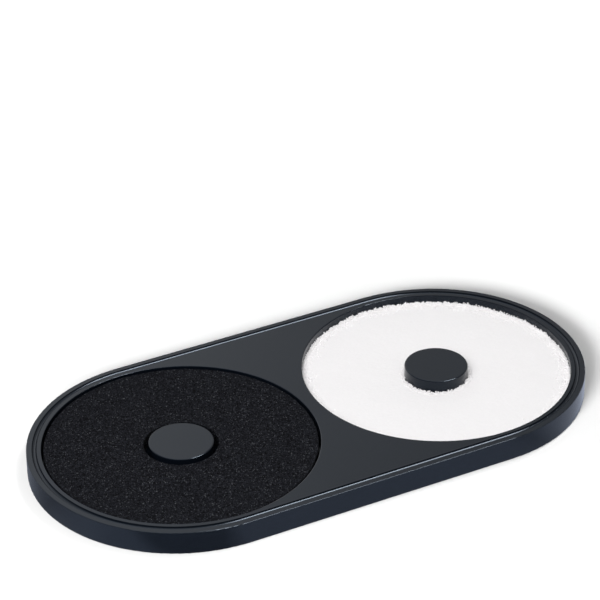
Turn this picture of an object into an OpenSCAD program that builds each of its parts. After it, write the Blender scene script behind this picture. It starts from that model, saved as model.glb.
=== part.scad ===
// Cocktail glass rimmer: a shallow moulded bar tray with two round wells side by side.
// A wetting sponge ring lies in the left well, a bed of salt in the right one, and a post
// stands in the middle of each. A glass is turned over and its rim pressed in one, then the other.
// Millimetres. The origin is the middle of the tray on the surface that its feet stand on,
// +X runs along the tray to the salt well, +Y to the back and +Z up.

/* [Wells] */
// Inside diameter of each well
well_d = 140; // [110:1:160]
// Depth of the wells below the top face
well_depth = 8.6; // [7.5:0.1:14]
// Land left between the two wells
web_w = 7.5; // [5:0.5:30]
// Rounding of a well's top edge
lip_r = 0.5; // [0.2:0.1:1]
// Rounding where a well's wall or its post meets the floor
cove_r = 0.8; // [0.3:0.1:1.5]

/* [Posts] */
// Diameter of the post in each well
post_d = 33; // [24:0.5:45]
// Height of the posts' tops above the top face
post_rise = 0.4; // [0:0.1:3]
// Rounding of a post's top edge
post_edge_r = 0.6; // [0.2:0.1:1.2]

/* [Rim] */
// Width of the flat strip between a well and the groove
strip_w = 2.2; // [2:0.1:5]
// Width of the round-bottomed groove that runs round the top
groove_w = 2.5; // [2.4:0.1:4]
// Depth of the groove, at most half its width
groove_depth = 1.2; // [0.6:0.1:1.2]
// Width of the outer land between the groove and the side face
land_w = 2.8; // [2.2:0.1:5]
// Rounding of the outer top edge
edge_r = 0.3; // [0.2:0.1:1.2]
// Rounding of the skirt's lower outer edge
hem_r = 0.4; // [0.2:0.1:0.8]

/* [Moulding] */
// Thickness of the skirt, the wells' walls and the posts
wall = 2; // [1.6:0.1:2.2]
// Thickness of the top plate, the posts' tops and the groove's trough
plate_t = 2; // [1.6:0.1:3]
// Thickness of the wells' floors
floor_t = 2.2; // [1.8:0.1:3]
// How far the skirt reaches below the wells' floors
skirt_drop = 1.6; // [1:0.1:4]
// Thickness of the ribs underneath
rib_t = 1.2; // [0.8:0.1:1.6]
// How far the ribs stop above the skirt's lower edge
rib_short = 0.4; // [0.2:0.1:0.6]
// Spacing of the ribs under the top plate
rib_pitch = 22; // [14:1:30]
// Number of spokes under each well's floor
spokes = 6; // [3:3:12]

/* [Feet] */
// Diameter of the rubber feet
foot_d = 14; // [10:0.5:18]
// How far the feet stand below the skirt's lower edge
foot_proud = 0.4; // [0.3:0.1:3]
// Distance from a well's wall to the middle of a foot
foot_inset = 14; // [11:0.5:22]
// Bevel round the lower edge of a foot
foot_bevel = 0.4; // [0.2:0.1:0.6]
// Gap round a foot inside its locating ring
foot_clear = 0.3; // [0.2:0.1:0.6]

/* [Sponge] */
// Thickness of the sponge ring
sponge_t = 7.9; // [4:0.1:12]
// Gap between the sponge and the cove at the well's wall
sponge_clear = 0.2; // [0.1:0.1:2]
// Gap between the sponge's hole and the cove at the post
hole_clear = 1.4; // [0.2:0.1:4]
// Rounding of the sponge's upper edges
sponge_edge_r = 0.5; // [0.2:0.1:1.5]

/* [Salt] */
// Depth of the salt's surface below the top face, at the well's wall
salt_drop = 4.8; // [3:0.1:6]
// How much lower the salt lies at the post
salt_dish = 1.2; // [0:0.1:1.5]
// Gap round the salt bed at the wall and the post
salt_clear = 0.3; // [0.2:0.1:1]

/* [Hidden] */
$fn = 96;

// Overshoot of a cut past the face that it opens
over = 1;

// Radii from a well's centre, or distances from the tray's long centre line
well_r = well_d / 2;
post_r = post_d / 2;
groove_r = well_r + strip_w;
land_r = groove_r + groove_w;
rim_r = land_r + land_w;
shell_r = well_r + wall;

// Radius of the arc that forms the groove, from its width and depth
groove_arc_r = (groove_w * groove_w / 4 + groove_depth * groove_depth) / (2 * groove_depth);

// Distance between the wells' centres
pitch = 2 * well_r + web_w;

// Heights above the surface that the feet stand on
hem_z = foot_proud;
under_z = hem_z + skirt_drop;
floor_z = under_z + floor_t;
top_z = floor_z + well_depth;
post_z = top_z + post_rise;
rib_z = hem_z + rib_short;

// Tops of the field's ribs, buried in the top plate but below the groove
rib_top_z = top_z - (groove_depth + plate_t) / 2;

// Thickness of a foot, from the underside of a well's floor to the table
foot_t = under_z;
foot_r = foot_d / 2;

// Directions of the three feet of the right well; the left well's are their mirror image
foot_front_a = -60;
foot_back_a = 60;
foot_inner_a = 180;
foot_angles = [foot_front_a, foot_back_a, foot_inner_a];

tray_colour = "#3c4045";
sponge_colour = "#1b1c1f";
salt_colour = "#f1f0ee";
foot_colour = "#18191b";

// ---- Shapes used more than once ----

// What a tangent arc leaves in a square corner at the origin, opening to +X and +Y
module cove(r) {
    difference() {
        square(r);
        translate([r, r]) circle(r);
    }
}

// The same corner piece cut off an outside corner, with room to cut clean through the faces
module edge_cut(r) {
    difference() {
        translate([-r, -r]) square(r + over);
        translate([-r, -r]) circle(r);
    }
}

// Outline of two half circles joined by straight sides
module stadium(r) {
    for (side = [-1, 1]) translate([side * pitch / 2, 0]) circle(r);
    square([pitch, 2 * r], center = true);
}

// Runs a section round the tray, its X as the distance from the tray's centre line
module round_the_tray() {
    for (side = [-1, 1]) {
        translate([side * pitch / 2, 0, 0]) rotate([0, 0, -90 * side])
            rotate_extrude(angle = 180) children();
        mirror([0, side < 0 ? 1 : 0, 0]) rotate([90, 0, 90])
            linear_extrude(pitch, center = true) children();
    }
}

// Places the right well's pieces; side -1 mirrors them into the left well
module at_well(side) {
    mirror([side < 0 ? 1 : 0, 0, 0]) translate([pitch / 2, 0, 0]) children();
}

module at_foot(angle) {
    rotate([0, 0, angle]) translate([well_r - foot_inset, 0, 0]) children();
}

// ---- Tray ----

// Skirt, outer land and the trough of the groove, as one section
module rim_section() {
    trough_z = top_z - groove_depth - plate_t;
    difference() {
        union() {
            translate([rim_r - wall, hem_z]) square([wall, top_z - hem_z]);
            translate([groove_r - wall, trough_z]) square([rim_r - groove_r + wall, top_z - trough_z]);
        }
        translate([groove_r + groove_w / 2, top_z - groove_depth + groove_arc_r]) circle(groove_arc_r);
        translate([rim_r, top_z]) edge_cut(edge_r);
        translate([rim_r, hem_z]) mirror([0, 1]) edge_cut(hem_r);
    }
}

// Wall, floor and hollow post of a well, as one section
module well_section() {
    difference() {
        union() {
            translate([0, under_z]) square([shell_r, floor_t]);
            translate([well_r, under_z]) square([wall, top_z - under_z]);
            translate([0, under_z]) square([post_r, post_z - under_z]);
            translate([post_r, floor_z]) cove(cove_r);
            translate([well_r, floor_z]) mirror([1, 0]) cove(cove_r);
        }
        translate([0, under_z - over]) square([post_r - wall, post_z - plate_t - under_z + over]);
        translate([post_r, post_z]) edge_cut(post_edge_r);
        translate([well_r, top_z]) mirror([1, 0]) edge_cut(lip_r);
    }
}

// Top plate between the wells and the groove's trough
module field() {
    translate([0, 0, top_z - plate_t]) linear_extrude(plate_t) difference() {
        stadium(groove_r - wall / 2);
        for (side = [-1, 1]) translate([side * pitch / 2, 0]) circle(well_r + wall / 2);
    }
}

// Crossed ribs that stiffen the top plate between the wells
module field_ribs() {
    rows = floor(rim_r / rib_pitch);
    translate([0, 0, rib_z]) linear_extrude(rib_top_z - rib_z) difference() {
        intersection() {
            square([pitch, 2 * (rim_r - wall / 2)], center = true);
            union() {
                for (row = [-rows : rows]) translate([0, row * rib_pitch])
                    square([pitch, rib_t], center = true);
                for (side = [-1, 1]) translate([side * rib_pitch / 2, 0])
                    square([rib_t, 2 * rim_r], center = true);
            }
        }
        for (side = [-1, 1]) translate([side * pitch / 2, 0]) circle(well_r + wall / 2);
    }
}

// Spokes under a well's floor, and a locating ring for each foot that the spokes stop at
module floor_ribs() {
    translate([0, 0, rib_z]) linear_extrude(under_z - rib_z + floor_t / 2) difference() {
        union() {
            for (i = [0 : spokes - 1]) rotate(360 * (i + 0.5) / spokes)
                translate([post_r - wall / 2, -rib_t / 2]) square([well_r - post_r + wall, rib_t]);
            for (angle = foot_angles) at_foot(angle) circle(foot_r + foot_clear + rib_t);
        }
        for (angle = foot_angles) at_foot(angle) circle(foot_r + foot_clear);
    }
}

module tray() {
    color(tray_colour) {
        round_the_tray() rim_section();
        field();
        field_ribs();
        for (side = [-1, 1]) at_well(side) {
            rotate_extrude() well_section();
            floor_ribs();
        }
    }
}

// ---- Sponge ring, in the left well ----

module sponge_ring() {
    inner_r = post_r + cove_r + hole_clear;
    outer_r = well_r - cove_r - sponge_clear;
    color(sponge_colour) at_well(-1) rotate_extrude() difference() {
        translate([inner_r, floor_z]) square([outer_r - inner_r, sponge_t]);
        translate([outer_r, floor_z + sponge_t]) edge_cut(sponge_edge_r);
        translate([inner_r, floor_z + sponge_t]) mirror([1, 0]) edge_cut(sponge_edge_r);
    }
}

// ---- Salt bed, in the right well ----

module salt_bed() {
    inner_r = post_r + salt_clear;
    outer_r = well_r - salt_clear;
    wall_z = top_z - salt_drop;
    color(salt_colour) at_well(1) rotate_extrude() polygon([
        [inner_r + cove_r, floor_z],
        [outer_r - cove_r, floor_z],
        [outer_r, floor_z + cove_r],
        [outer_r, wall_z],
        [(inner_r + outer_r) / 2, wall_z - salt_dish / 4],
        [inner_r, wall_z - salt_dish],
        [inner_r, floor_z + cove_r]
    ]);
}

// ---- Rubber feet, three under each well ----

module foot(side, angle) {
    color(foot_colour) at_well(side) at_foot(angle) {
        cylinder(h = foot_bevel, r1 = foot_r - foot_bevel, r2 = foot_r);
        translate([0, 0, foot_bevel]) cylinder(h = foot_t - foot_bevel, r = foot_r);
    }
}

tray();
sponge_ring();
salt_bed();
foot(-1, foot_front_a);  // foot_left_front
foot(-1, foot_back_a);  // foot_left_back
foot(-1, foot_inner_a);  // foot_left_inner
foot(1, foot_front_a);  // foot_right_front
foot(1, foot_back_a);  // foot_right_back
foot(1, foot_inner_a);  // foot_right_inner
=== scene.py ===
import math

import bpy
import numpy as np
from mathutils import Matrix, Vector


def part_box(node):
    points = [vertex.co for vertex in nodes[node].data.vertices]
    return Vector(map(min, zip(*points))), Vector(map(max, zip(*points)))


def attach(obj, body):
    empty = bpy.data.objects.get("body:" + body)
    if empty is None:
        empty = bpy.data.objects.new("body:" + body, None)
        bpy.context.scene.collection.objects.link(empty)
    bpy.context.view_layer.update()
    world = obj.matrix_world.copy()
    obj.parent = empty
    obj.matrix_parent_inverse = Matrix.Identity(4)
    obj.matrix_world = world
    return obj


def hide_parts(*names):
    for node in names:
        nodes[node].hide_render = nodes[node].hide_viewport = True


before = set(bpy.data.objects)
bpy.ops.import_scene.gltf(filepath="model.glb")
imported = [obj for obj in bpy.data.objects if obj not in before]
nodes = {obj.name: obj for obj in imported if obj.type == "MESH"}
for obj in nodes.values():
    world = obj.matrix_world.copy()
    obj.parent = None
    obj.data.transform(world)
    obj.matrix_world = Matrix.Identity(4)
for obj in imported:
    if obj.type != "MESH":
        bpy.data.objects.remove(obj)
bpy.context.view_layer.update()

MM = 0.001


# ---- Sizes ----

def ring_of(node):
    """Centre, inner and outer radius, lowest and highest z of a ring-shaped CAD node."""
    low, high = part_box(node)
    centre = (low + high) / 2
    flat = np.array([(v.co.x - centre.x, v.co.y - centre.y) for v in nodes[node].data.vertices])
    radii = np.hypot(flat[:, 0], flat[:, 1])
    return Vector((centre.x, centre.y, 0)), float(radii.min()), float(radii.max()), low.z, high.z


# The tray's upper, right and back limits, and how far each well's centre is from the middle
TRAY_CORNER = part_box("tray")[1]
WELL_X = TRAY_CORNER.x - TRAY_CORNER.y

# The part's sizes that can't be read from the frame
POST_RISE = 0.4 * MM
GROOVE_R = 73.45 * MM
GROOVE_DEPTH = 1.2 * MM
GROOVE_ARC = 1.251 * MM

TOP_Z = TRAY_CORNER.z - POST_RISE


# ---- Camera, at the photograph's viewing angle ----

YAW = math.radians(27.51)
PITCH = math.radians(31.30)
ROLL = math.radians(-0.68)
EYE = Vector((-0.5528, -1.0504, 0.7831 + TOP_Z))
SENSOR = 36.0
LENS = 166.9
CLIP_NEAR = 0.05
CLIP_FAR = 30


def make_camera():
    ahead = Vector((math.sin(YAW) * math.cos(PITCH), math.cos(YAW) * math.cos(PITCH), -math.sin(PITCH)))
    right = Vector((math.cos(YAW), -math.sin(YAW), 0))
    up = right.cross(ahead)
    turned_right = right * math.cos(ROLL) + up * math.sin(ROLL)
    turned_up = up * math.cos(ROLL) - right * math.sin(ROLL)
    data = bpy.data.cameras.new("camera")
    data.sensor_width = SENSOR
    data.lens = LENS
    data.clip_start = CLIP_NEAR
    data.clip_end = CLIP_FAR
    camera = bpy.data.objects.new("camera", data)
    camera.matrix_world = Matrix((
        (turned_right.x, turned_up.x, -ahead.x, EYE.x),
        (turned_right.y, turned_up.y, -ahead.y, EYE.y),
        (turned_right.z, turned_up.z, -ahead.z, EYE.z),
        (0, 0, 0, 1),
    ))
    bpy.context.scene.collection.objects.link(camera)
    bpy.context.scene.camera = camera


make_camera()


# ---- Node helpers ----

class Tree:
    """A node tree with short calls that make its nodes and link them."""

    def __init__(self, tree):
        self.tree = tree

    def node(self, kind, *sources, out=0, **settings):
        """Makes a node, feeds its inputs in order with sockets or values, and returns an output."""
        made = self.tree.nodes.new(kind)
        for key, value in settings.items():
            setattr(made, key, value)
        for socket, source in zip(made.inputs, sources):
            if isinstance(source, bpy.types.NodeSocket):
                self.tree.links.new(source, socket)
            elif source is not None:
                socket.default_value = source
        return None if out is None else made.outputs[out]

    def between(self, source, low, high, start=0.0, end=1.0):
        """Maps start..end to low..high, and holds the ends."""
        return self.node("ShaderNodeMapRange", source, start, end, low, high)

    def maths(self, operation, *sources):
        return self.node("ShaderNodeMath", *sources, operation=operation)

    def vector(self, operation, *sources, out=0):
        return self.node("ShaderNodeVectorMath", *sources, out=out, operation=operation)

    def rays(self, *kinds):
        """1 for rays of the kinds named, such as Is Camera Ray, and 0 for others."""
        path = self.tree.nodes.new("ShaderNodeLightPath").outputs
        found = path[kinds[0]]
        for kind in kinds[1:]:
            found = self.maths("MAXIMUM", found, path[kind])
        return found


class Shader(Tree):
    """A Principled material."""

    def __init__(self, name, colour, roughness, **constants):
        self.material = bpy.data.materials.new(name)
        self.material.use_nodes = True
        super().__init__(self.material.node_tree)
        self.bsdf = self.tree.nodes["Principled BSDF"]
        self.bsdf.inputs["Base Color"].default_value = (*colour, 1)
        self.bsdf.inputs["Roughness"].default_value = roughness
        for key, value in constants.items():
            self.bsdf.inputs[key.replace("_", " ")].default_value = value
        self.place = self.node("ShaderNodeTexCoord", out="Object")

    def noise(self, size, detail=2.0, roughness=0.5):
        """Noise from 0 to 1 with features of about the given size, in metres."""
        return self.node("ShaderNodeTexNoise", self.place, None, 1 / size, detail, roughness, out="Fac")

    def cells(self, size, out="Distance"):
        """Random cells of the given size: the distance to each one's middle, or its own colour."""
        return self.node("ShaderNodeTexVoronoi", self.place, None, 1 / size, out=out)

    def ramp(self, source, stops):
        """A colour ramp; each stop is a position and a grey or a colour."""
        made = self.tree.nodes.new("ShaderNodeValToRGB")
        self.tree.links.new(source, made.inputs["Fac"])
        band = made.color_ramp
        while len(band.elements) < len(stops):
            band.elements.new(0.5)
        for element, (position, value) in zip(band.elements, stops):
            element.position = position
            element.color = (*value, 1) if hasattr(value, "__len__") else (value, value, value, 1)
        return made.outputs["Color"]

    def bump(self, source, strength, distance, under=None):
        """A bumped normal from a height, over the normal given as under."""
        made = self.tree.nodes.new("ShaderNodeBump")
        made.inputs["Strength"].default_value = strength
        made.inputs["Distance"].default_value = distance
        self.tree.links.new(source, made.inputs["Height"])
        if under is not None:
            self.tree.links.new(under, made.inputs["Normal"])
        return made.outputs["Normal"]

    def feed(self, **sources):
        """Links sources to the shader's inputs, and returns the finished material."""
        for key, source in sources.items():
            self.tree.links.new(source, self.bsdf.inputs[key.replace("_", " ")])
        return self.material


# ---- Materials ----

def moulded_plastic():
    """Blue-black plastic; most of its slate grey is the sheen of a finely grained mould."""
    s = Shader("moulded_plastic", (0.0036, 0.0054, 0.0092), roughness=0.22,
               Specular_IOR_Level=0.31, Specular_Tint=(0.745, 0.86, 1, 1))
    colour = s.ramp(s.noise(60 * MM, detail=3), [
        (0.3, (0.0032, 0.0050, 0.0086)),
        (0.7, (0.0040, 0.0061, 0.0102))])
    rough = s.between(s.noise(9 * MM, detail=4, roughness=0.6), low=0.20, high=0.24)
    grain = s.bump(s.noise(0.35 * MM), strength=0.2, distance=0.01 * MM)
    return s.feed(Base_Color=colour, Roughness=rough, Normal=grain)


def foot_rubber():
    """Matt black rubber with a faint skin."""
    s = Shader("foot_rubber", (0.012, 0.012, 0.013), roughness=0.75, Specular_IOR_Level=0.3)
    colour = s.ramp(s.noise(3 * MM, detail=3), [(0.35, 0.009), (0.7, 0.018)])
    skin = s.bump(s.noise(0.5 * MM, detail=3), strength=0.4, distance=0.05 * MM)
    return s.feed(Base_Color=colour, Normal=skin)


def black_foam():
    """Fine open-cell foam: each cell has its own tone, and the brightest are painted highlights on struts."""
    s = Shader("black_foam", (0.012, 0.0125, 0.015), roughness=0.85, Specular_IOR_Level=0.03)
    # Random tones per cell; the top stop paints highlights into the colour
    tones_and_painted_glints = s.ramp(s.cells(0.48 * MM, out="Color"), [
        (0.12, (0.0002, 0.0002, 0.0004)),
        (0.5, (0.0070, 0.0075, 0.0100)),
        (0.82, (0.0205, 0.0220, 0.0275)),
        (0.97, (0.088, 0.092, 0.100))])
    fine = s.bump(s.noise(0.3 * MM, detail=3, roughness=0.7), strength=0.5, distance=0.15 * MM)
    pores = s.bump(s.cells(0.6 * MM), strength=0.9, distance=0.4 * MM, under=fine)
    return s.feed(Base_Color=tones_and_painted_glints, Normal=pores)


def salt_crystals():
    """Dry white salt with small facets."""
    s = Shader("salt_crystals", (0.92, 0.905, 0.912), roughness=0.5, Specular_IOR_Level=0.2)
    tone = s.ramp(s.noise(0.8 * MM, detail=3, roughness=0.7), [
        (0.3, (0.90, 0.885, 0.892)),
        (0.65, (0.935, 0.92, 0.927))])
    facets = s.bump(s.cells(0.7 * MM), strength=0.2, distance=0.06 * MM)
    return s.feed(Base_Color=tone, Normal=facets)


PLASTIC = moulded_plastic()
RUBBER = foot_rubber()
FOAM = black_foam()
SALT = salt_crystals()


# ---- Tray and feet, shown as their CAD solids ----

def dress(node, material):
    data = nodes[node].data
    data.materials.clear()
    data.materials.append(material)


dress("tray", PLASTIC)
for name in nodes:
    if name.startswith("foot_"):
        dress(name, RUBBER)


# How far off the groove's arc a vertex of its facets may lie
ARC_TOLERANCE = 0.06 * MM
# Least cosine between a facet's own normal and the arc's that makes it one of the groove's
LEAST_FACING = 0.5


def groove_arc(points):
    """Whether each of the tray's points is on the groove's arc, and its direction to the arc's centre."""
    off_line = points[:, :2].copy()
    off_line[:, 0] -= np.clip(off_line[:, 0], -WELL_X, WELL_X)
    reach = np.hypot(off_line[:, 0], off_line[:, 1])
    across = reach - GROOVE_R
    up = points[:, 2] - (TOP_Z - GROOVE_DEPTH + GROOVE_ARC)
    from_centre = np.hypot(across, up)
    on_arc = np.abs(from_centre - GROOVE_ARC) < ARC_TOLERANCE
    outward = off_line / np.maximum(reach, MM)[:, None]
    inward = -np.column_stack([outward * across[:, None], up]) / from_centre[:, None]
    return on_arc, inward


def even_groove():
    """Gives the groove's facets the normals of the arc that they follow, so that its highlight runs
    unbroken. No point moves."""
    data = nodes["tray"].data
    points = np.empty((len(data.vertices), 3), np.float32)
    data.vertices.foreach_get("co", points.ravel())
    on_arc, inward = groove_arc(points)
    normals = np.empty((len(data.loops), 3), np.float32)
    data.corner_normals.foreach_get("vector", normals.ravel())
    for face in data.polygons:
        corners = list(face.vertices)
        if on_arc[corners].all() and inward[corners].mean(0) @ np.array(face.normal) > LEAST_FACING:
            normals[list(face.loop_indices)] = inward[corners]
    data.normals_split_custom_set(normals.tolist())


even_groove()


# ---- Mesh helpers ----

HASH_PRIMES = (374761393, 668265263, 2147483647, 974634777)
HASH_MIX = 1274126177
LOW_32_BITS = 0xFFFFFFFF
LOW_16_BITS = 0xFFFF


def lattice_hash(i, j, k, seed):
    """A repeatable pseudo-random value from 0 to 1 for each lattice point."""
    for_i, for_j, for_k, for_seed = HASH_PRIMES
    n = (i * for_i + j * for_j + k * for_k + seed * for_seed) & LOW_32_BITS
    n = ((n ^ (n >> 13)) * HASH_MIX) & LOW_32_BITS
    return ((n ^ (n >> 16)) & LOW_16_BITS) / LOW_16_BITS


def smooth_noise(points, size, seed):
    """Value noise from 0 to 1 with features of the given size, for an array of points."""
    p = points / size
    cell = np.floor(p).astype(np.int64)
    f = p - cell
    f = f * f * (3 - 2 * f)
    total = 0
    for corner in range(8):
        dx, dy, dz = corner & 1, corner >> 1 & 1, corner >> 2 & 1
        weight = (
            (f[:, 0] if dx else 1 - f[:, 0])
            * (f[:, 1] if dy else 1 - f[:, 1])
            * (f[:, 2] if dz else 1 - f[:, 2])
        )
        total = total + weight * lattice_hash(cell[:, 0] + dx, cell[:, 1] + dy, cell[:, 2] + dz, seed)
    return total


def revolved(profile, segments):
    """Revolves a closed profile of (radius, z) points about Z: points, outward normals and quads."""
    profile = np.array(profile, float)
    count = len(profile)
    along = np.roll(profile, -1, 0) - np.roll(profile, 1, 0)
    along /= np.linalg.norm(along, axis=1)[:, None]
    normal = np.stack([along[:, 1], -along[:, 0]], 1)
    angle = np.arange(segments) * 2 * math.pi / segments
    c, s = np.cos(angle), np.sin(angle)

    def all_round(flat):
        """Copies of (radius, z) values at every angle, as (x, y, z)."""
        height = np.tile(flat[:, 1], (segments, 1))
        return np.stack([np.outer(c, flat[:, 0]), np.outer(s, flat[:, 0]), height], -1).reshape(-1, 3)

    turn = np.arange(segments)[:, None] * count
    step = np.arange(count)[None, :]
    next_turn = (turn + count) % (segments * count)
    next_step = (step + 1) % count
    corners = [turn + step, next_turn + step, next_turn + next_step, turn + next_step]
    return all_round(profile), all_round(normal), np.stack(corners, -1).reshape(-1, 4)


def mesh_object(name, points, faces, material, body):
    """A smooth mesh that rides on a body, from arrays of points and faces."""
    data = bpy.data.meshes.new(name)
    data.from_pydata(points.tolist(), [], faces.tolist())
    data.shade_smooth()
    data.materials.append(material)
    data.update()
    made = bpy.data.objects.new(name, data)
    bpy.context.scene.collection.objects.link(made)
    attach(made, body)
    return made


def steps(start, end, size):
    """Evenly spaced values from start up to, not including, end, about size apart."""
    count = max(1, round(abs(end - start) / size))
    return list(np.linspace(start, end, count, endpoint=False))


# Spacing of the rings of points on the undersides, which don't show
UNDERSIDE_GRID = 2 * MM


# ---- Sponge ring ----

def sponge_profile(inner, outer, low, high):
    """The section of the ring with rounded upper edges, as (radius, z) points."""
    grid = 0.55 * MM
    edge = 0.5 * MM
    edge_angles = steps(0, math.pi / 2, 0.4)
    profile = [(r, low) for r in steps(inner, outer, UNDERSIDE_GRID)]
    profile += [(outer, z) for z in steps(low, high - edge, grid)]
    profile += [(outer - edge + edge * math.cos(a), high - edge + edge * math.sin(a)) for a in edge_angles]
    profile += [(r, high) for r in steps(outer - edge, inner + edge, grid)]
    profile += [(inner + edge - edge * math.sin(a), high - edge + edge * math.cos(a)) for a in edge_angles]
    profile += [(inner, z) for z in steps(high - edge, low, grid)]
    return profile


def make_sponge():
    """A foam ring, pitted and slightly uneven everywhere but at its underside."""
    centre, inner, outer, low, high = ring_of("sponge_ring")
    segments = 720
    pore_depth = 0.35 * MM
    wave_mm = 0.2
    held_height = 1 * MM
    points, normals, quads = revolved(sponge_profile(inner, outer, low, high), segments)
    pits = smooth_noise(points, 1.1 * MM, seed=3) * 0.6 + smooth_noise(points, 0.6 * MM, seed=4) * 0.4
    wave = smooth_noise(points, 14 * MM, seed=5) - 0.5
    free = np.clip((points[:, 2] - low) / held_height, 0, 1)
    points = points - normals * (pits * pore_depth * free)[:, None]
    points[:, 2] += wave * wave_mm * MM * free
    piece = mesh_object("sponge_foam", points + np.array(centre), quads, FOAM, "sponge")
    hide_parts("sponge_ring")


make_sponge()


# ---- Salt ----

def crystals(places, sizes, rng):
    """Small blocks with random turns and uneven sides, one at each place."""
    count = len(places)
    corners = np.array([(x, y, z) for z in (-1, 1) for y in (-1, 1) for x in (-1, 1)], float) / 2
    sides = np.array([(0, 2, 3, 1), (4, 5, 7, 6), (0, 1, 5, 4), (2, 6, 7, 3), (0, 4, 6, 2), (1, 3, 7, 5)])
    stretch = rng.uniform(0.7, 1.2, (count, 1, 3))
    q = rng.normal(size=(count, 4))
    q /= np.linalg.norm(q, axis=1)[:, None]
    w, x, y, z = q.T
    turn = np.stack([
        1 - 2 * (y * y + z * z), 2 * (x * y - z * w), 2 * (x * z + y * w),
        2 * (x * y + z * w), 1 - 2 * (x * x + z * z), 2 * (y * z - x * w),
        2 * (x * z - y * w), 2 * (y * z + x * w), 1 - 2 * (x * x + y * y)], 1).reshape(count, 3, 3)
    local = corners[None] * stretch * sizes[:, None, None]
    points = np.einsum("nij,nkj->nki", turn, local) + places[:, None]
    faces = sides[None] + 8 * np.arange(count)[:, None, None]
    return points.reshape(-1, 3), faces.reshape(-1, 4)


class SaltSurface:
    """The height of the salt: a shallow dish with a crust at the wall and the post."""

    dish = 1.5 * MM
    dish_power = 1.6
    wall_crust_width = 1.8 * MM
    post_crust_width = 1.4 * MM

    # Greatest height of each kind of unevenness, in millimetres
    swell = 0.4
    ripple = 0.15
    grit = 0.1
    wall_crust = 0.9
    post_crust = 0.3

    def __init__(self, inner, outer, high):
        self.inner = inner
        self.outer = outer
        self.high = high

    def level(self, r):
        """The even surface at a distance from the well's centre, highest at the wall."""
        share = np.clip((r - self.inner) / (self.outer - self.inner), 0, 1)
        return self.high - self.dish * (1 - share) ** self.dish_power

    def crust(self, flat):
        """How far the salt stands over its level at an array of (x, y) places."""
        r = np.hypot(flat[:, 0], flat[:, 1])
        places = np.column_stack([flat, np.zeros(len(flat))])
        clump = smooth_noise(places, 1.1 * MM, seed=23)
        at_wall = np.clip(1 - (self.outer - r) / self.wall_crust_width, 0, 1)
        at_post = np.clip(1 - (r - self.inner) / self.post_crust_width, 0, 1)
        rise = (smooth_noise(places, 26 * MM, seed=21) - 0.5) * self.swell
        rise += (smooth_noise(places, 7 * MM, seed=22) - 0.5) * self.ripple
        rise += (clump - 0.5) * self.grit
        rise += clump * (at_wall * self.wall_crust + at_post * self.post_crust)
        return rise * MM


def make_salt_bed(surface, centre, low):
    """The bed as one closed mesh."""
    inner, outer = surface.inner, surface.outer
    segments = 840
    grid = 0.5 * MM
    side_grid = 1 * MM
    crust_depth = 0.5 * MM
    profile = [(r, low) for r in steps(inner, outer, UNDERSIDE_GRID)]
    profile += [(outer, z) for z in steps(low, float(surface.level(outer)), side_grid)]
    profile += [(r, float(surface.level(r))) for r in steps(outer, inner, grid)]
    profile += [(inner, z) for z in steps(float(surface.level(inner)), low, side_grid)]
    points, _, quads = revolved(profile, segments)
    level = surface.level(np.hypot(points[:, 0], points[:, 1]))
    on_top = np.clip((points[:, 2] - level) / crust_depth + 1, 0, 1)
    points[:, 2] += surface.crust(points[:, :2]) * on_top
    bed = mesh_object("salt_surface", points + np.array(centre), quads, SALT, "base")
    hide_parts("salt_bed")


def make_salt_grains(surface, centre, seed):
    """Loose grains at the wall and the post."""
    inner, outer = surface.inner, surface.outer
    rng = np.random.default_rng(seed)

    def scatter(count, start, end, crowding, smallest, largest, climb=0.25):
        """Grains between two radii, crowded toward the second, and their sizes. Some climb higher."""
        r = start + (end - start) * rng.uniform(0, 1, count) ** (1 / crowding)
        a = rng.uniform(0, 2 * math.pi, count)
        flat = np.stack([r * np.cos(a), r * np.sin(a)], 1)
        height = surface.level(r) + surface.crust(flat) + rng.uniform(-0.2, climb, count) * MM
        return np.column_stack([flat, height]), rng.uniform(smallest, largest, count) * MM

    groups = [
        # Strewn inward from the wall, and packed along it
        scatter(3600, outer - 9 * MM, outer, crowding=3.0, smallest=0.3, largest=0.6),
        scatter(2600, outer - 1 * MM, outer + 0.1 * MM, crowding=1.0, smallest=0.5, largest=0.9),
        # Strewn outward from the post
        scatter(900, inner + 3 * MM, inner, crowding=2.0, smallest=0.35, largest=0.65),
        # Clinging to the wall and to the post
        scatter(420, outer, outer + 0.1 * MM, crowding=1.0, smallest=0.4, largest=0.65, climb=1.0),
        scatter(110, inner, inner - 0.1 * MM, crowding=1.0, smallest=0.45, largest=0.7, climb=0.7)]
    places = np.concatenate([group[0] for group in groups])
    sizes = np.concatenate([group[1] for group in groups])
    points, faces = crystals(places, sizes, rng)
    grains = mesh_object("salt_grains", points + np.array(centre), faces, SALT, "base")
    grains.data.shade_flat()


def make_salt():
    """A bed of salt, smooth in the middle, with a crust of loose grains at the wall and the post."""
    centre, inner, outer, low, high = ring_of("salt_bed")
    surface = SaltSurface(inner, outer, high)
    make_salt_bed(surface, centre, low)
    make_salt_grains(surface, centre, seed=11)


make_salt()


# ---- Floor ----

WHITE = (1, 1, 1, 1)
FLOOR_HALF = 2.0
FLOOR_PAPER = (0.33, 0.33, 0.33, 1)

# Distances from the tray's side over which the floor rises to plain white
WHITE_START = 0.02
WHITE_END = 0.15

# The floor as the tray's gloss meets it, with no painted shade over it: a blue glow, a painted reflection
GLOSS_TINT = (0.736, 0.8125, 1, 1)
GLOSS_LEVEL = 0.96

# Painted shade on the floor in gloss alone: how much each patch takes away, and where it fades, in metres
FRONT_PAINTED_SHADE = 0.62
FRONT_PAINTED_SHADE_FADE = (-0.070, -0.062)
BACK_PAINTED_SHADE = 0.68
BACK_PAINTED_SHADE_FADE = (-0.038, -0.002)
LEFT_PAINTED_SHADES_FADE = 0.014
RIGHT_PAINTED_SHADE = 0.35
RIGHT_PAINTED_SHADE_X = 0.096
RIGHT_PAINTED_SHADE_HALF = 0.018


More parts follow.
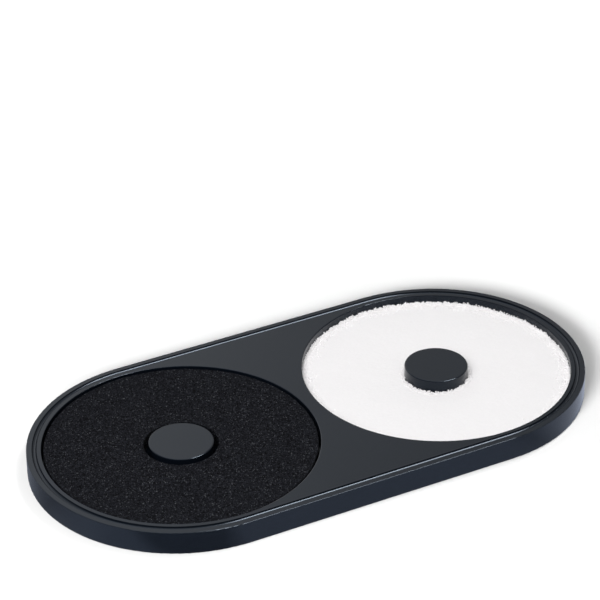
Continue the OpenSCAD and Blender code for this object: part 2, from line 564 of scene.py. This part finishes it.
def painted_gloss_shade(t, place):
    """How much painted shade the floor has in gloss: two patches lie round the left end, in front and
    behind, with a bright gap between them, and a paler one lies across the right end."""
    x = t.node("ShaderNodeSeparateXYZ", place, out="X")
    y = t.node("ShaderNodeSeparateXYZ", place, out="Y")
    # Painted shade in the tray's reflections: the floor dims for gloss alone
    front = t.between(y, FRONT_PAINTED_SHADE, 0.0, *FRONT_PAINTED_SHADE_FADE)
    back = t.between(y, 0.0, BACK_PAINTED_SHADE, *BACK_PAINTED_SHADE_FADE)
    left = t.between(x, t.maths("MAXIMUM", front, back), 0.0, -WELL_X - LEFT_PAINTED_SHADES_FADE, -WELL_X)
    off_right = t.maths("ABSOLUTE", t.maths("SUBTRACT", x, RIGHT_PAINTED_SHADE_X))
    right = t.between(off_right, RIGHT_PAINTED_SHADE, 0.0, 0.0, RIGHT_PAINTED_SHADE_HALF)
    return t.maths("MAXIMUM", left, right)


def white_far_off(t, place):
    """0 on the floor near the tray and 1 where it has risen to plain white."""
    beyond_well = t.vector("SUBTRACT", t.vector("ABSOLUTE", place), (WELL_X, 0, 0))
    off_centre = t.vector("MAXIMUM", beyond_well, (0, 0, 0))
    reach = t.vector("LENGTH", off_centre, out="Value")
    return t.between(reach, 0.0, 1.0, TRAY_CORNER.y + WHITE_START, TRAY_CORNER.y + WHITE_END)


def floor_paper():
    """Pale paper that glows white farther off. In gloss alone it is a slightly blue glow with painted shade
    on it: a painted reflection for the tray.
    """
    material = bpy.data.materials.new("floor_paper")
    material.use_nodes = True
    t = Tree(material.node_tree)
    t.tree.nodes.clear()
    place = t.node("ShaderNodeTexCoord", out="Object")
    seen = t.rays("Is Camera Ray", "Is Glossy Ray", "Is Transmission Ray")
    glow = t.node("ShaderNodeEmission", WHITE, t.maths("MULTIPLY", white_far_off(t, place), seen))
    paper = t.node("ShaderNodeBsdfDiffuse", FLOOR_PAPER)
    # Painted reflection: to gloss the floor is a tinted glow, dimmer where painted shade lies
    bright = t.between(painted_gloss_shade(t, place), GLOSS_LEVEL, 0.0)
    in_gloss = t.node("ShaderNodeEmission", GLOSS_TINT, bright)
    surface = t.node("ShaderNodeMixShader", t.rays("Is Glossy Ray"), paper, in_gloss)
    t.node("ShaderNodeOutputMaterial", t.node("ShaderNodeAddShader", surface, glow), out=None)
    return material


def make_floor():
    """A pale floor that keeps the tray's shadow."""
    data = bpy.data.meshes.new("floor")
    corners = [(x * FLOOR_HALF, y * FLOOR_HALF, 0) for x, y in ((-1, -1), (1, -1), (1, 1), (-1, 1))]
    data.from_pydata(corners, [], [(0, 1, 2, 3)])
    sheet = bpy.data.objects.new("floor", data)
    bpy.context.scene.collection.objects.link(sheet)
    data.materials.append(floor_paper())
    return sheet


# ---- World and lights ----

# What gloss meets: a backdrop behind the tray, brighter on the left, and the studio in front
BACKDROP_LEFT = 1.19
BACKDROP_RIGHT = 0.534
BACKDROP_DIMS = (0.342, 0.45)
BACKDROP_POWER = 2.0
STUDIO_IN_FRONT = 0.06
BACKDROP_RISES = (-0.4, 0.75)

# The even light on everything that isn't gloss
EVEN_LIGHT = 0.25


def make_world():
    """White to the camera. To gloss, a white backdrop behind the tray that dims toward its right
    end, and a dark studio in front; to the rest, an even soft light."""
    world = bpy.data.worlds.new("studio")
    bpy.context.scene.world = world
    world.use_nodes = True
    t = Tree(world.node_tree)
    t.tree.nodes.clear()
    toward = t.node("ShaderNodeTexCoord", out="Generated")
    rightward = t.vector("DOT_PRODUCT", toward, (1, 0, 0), out="Value")
    backward = t.vector("DOT_PRODUCT", toward, (math.sin(YAW), math.cos(YAW), 0), out="Value")
    left_share = t.between(rightward, 1.0, 0.0, *BACKDROP_DIMS)
    backdrop = t.between(t.maths("POWER", left_share, BACKDROP_POWER), BACKDROP_RIGHT, BACKDROP_LEFT)
    gloss = t.between(backward, STUDIO_IN_FRONT, backdrop, *BACKDROP_RISES)
    strength = t.between(t.rays("Is Glossy Ray", "Is Transmission Ray"), EVEN_LIGHT, gloss)
    strength = t.maths("MAXIMUM", strength, t.rays("Is Camera Ray"))
    t.node("ShaderNodeOutputWorld", t.node("ShaderNodeBackground", WHITE, strength), out=None)


def soft_light(name, toward, distance, width, length, radiance, along=(0, 1, 0)):
    """A softbox that faces the tray, with its length near the direction along.
    A radiance of 1 is the white of the backdrop."""
    data = bpy.data.lights.new(name, "AREA")
    data.shape = "RECTANGLE"
    data.size = width
    data.size_y = length
    data.energy = radiance * math.pi * width * length
    back = Vector(toward).normalized()
    side = Vector(along).cross(back).normalized()
    lamp = bpy.data.objects.new(name, data)
    turn = Matrix((side, back.cross(side), back)).transposed().to_4x4()
    lamp.matrix_world = Matrix.Translation(back * distance) @ turn
    bpy.context.scene.collection.objects.link(lamp)
    return lamp


def light_only(lamp, objects):
    """Makes a lamp light the given objects alone, out of gloss; all objects still cast its shadows."""
    lamp.visible_glossy = False
    lit = bpy.data.collections.new(lamp.name + "_lit")
    for lit_object in objects:
        lit.objects.link(lit_object)
    lamp.light_linking.receiver_collection = lit


def direction(azimuth, elevation):
    """Azimuth 0 is in front of the tray and 90 at its right end, in degrees."""
    turn, tilt = math.radians(azimuth), math.radians(elevation)
    return Vector((math.sin(turn) * math.cos(tilt), -math.cos(turn) * math.cos(tilt), math.sin(tilt)))


def light_groove(tilt):
    """A softbox that draws the line along the groove. It lies where grooves that run along X mirror
    it to the camera, a tilt over the front, and shows in gloss only."""
    across = math.sin(YAW) * math.cos(PITCH)
    rise = Vector((0, -math.cos(tilt), math.sin(tilt)))
    toward = Vector((across, 0, 0)) + rise * math.sqrt(1 - across ** 2)
    along = (0, math.sin(tilt), math.cos(tilt))
    lamp = soft_light("groove_strip", toward, distance=1.5, width=0.7, length=0.7, radiance=26.0, along=along)
    lamp.visible_diffuse = False


def make_lights(ground):
    """A key from the left, a large box overhead and one for the groove. The key lights the pieces
    alone, and two smaller lamps light the floor alone, because the tray's shadow on it is firmer and
    longer than the shade inside the wells."""
    key = soft_light("key_softbox", direction(-50, 45), distance=1.3, width=0.65, length=0.65, radiance=7.6)
    pieces = [piece for piece in bpy.context.scene.objects if piece.type == "MESH" and piece is not ground]
    light_only(key, pieces)
    floor_key = soft_light("floor_key", direction(-46, 27.5), distance=1.3, width=0.46, length=0.24,
                           radiance=208.0, along=(0, 0, 1))
    floor_side = soft_light("floor_side", direction(95, 68), distance=1.3, width=0.3, length=0.35,
                            radiance=34.0)
    for lamp in (floor_key, floor_side):
        light_only(lamp, [ground])
    soft_light("overhead_softbox", (0, 0, 1), distance=1.5, width=1.85, length=1.85, radiance=1.15)
    light_groove(math.radians(62))


floor = make_floor()
make_world()
make_lights(floor)
bpy.context.scene.view_settings.view_transform = "Standard"
